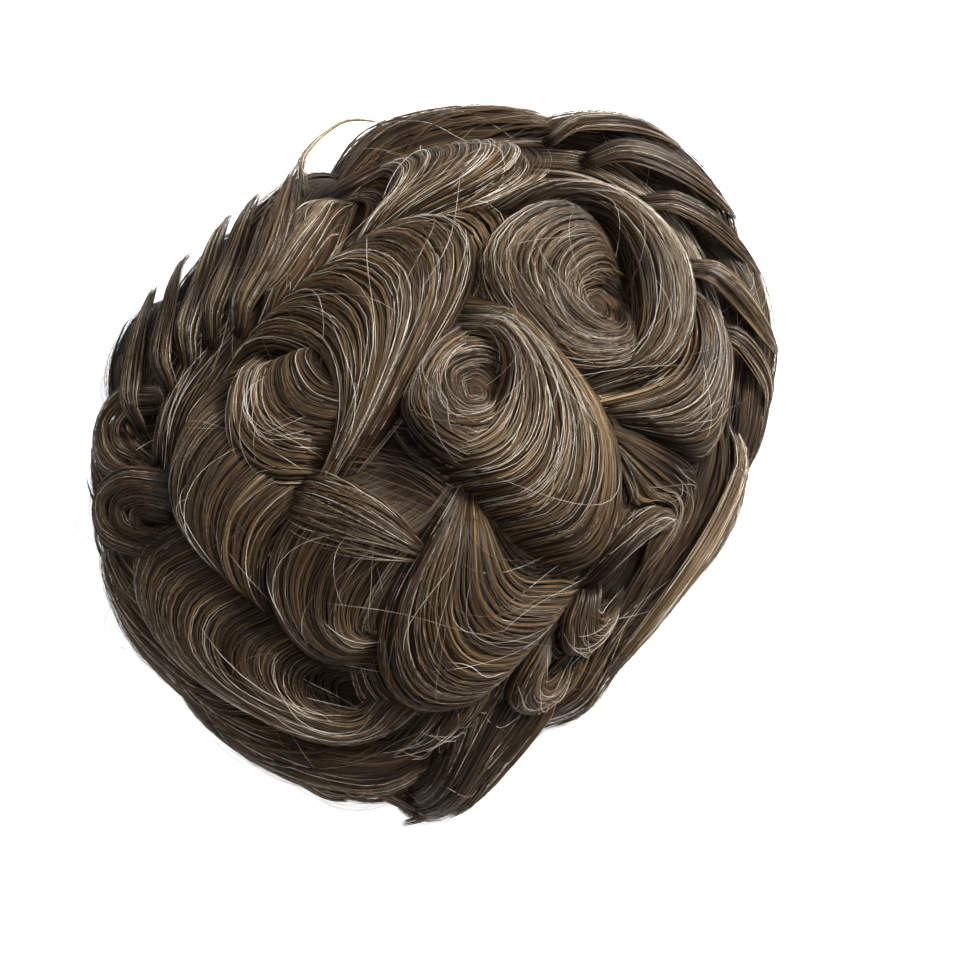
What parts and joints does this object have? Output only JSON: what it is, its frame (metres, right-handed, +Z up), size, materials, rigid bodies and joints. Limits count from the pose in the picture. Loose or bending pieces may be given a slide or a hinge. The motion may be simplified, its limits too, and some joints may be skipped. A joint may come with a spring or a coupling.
{
  "type": "toupee hairpiece",
  "caption": "Short wavy toupee on a thin domed base cap, with swirled brown and grey hair that hangs over the cap's edge.",
  "frame": {"origin": "middle of the footprint, on the surface that the hair rests on", "axes": "+Z up out of the surface, +Y towards the wearer's forehead, +X towards the wearer's right side"},
  "size_m": [0.214, 0.2674, 0.0765],
  "materials": {
    "hair": "soft satin sheen, streaked brown and grey",
    "cap_skin": "thin translucent polyurethane skin"
  },
  "bodies": {
    "root": {"base_cap": "cap_skin", "top_hair": "hair", "crown_hair": "hair", "front_hair": "hair", "right_side_hair": "hair", "back_hair": "hair", "left_side_hair": "hair"}
  },
  "joints": []
}
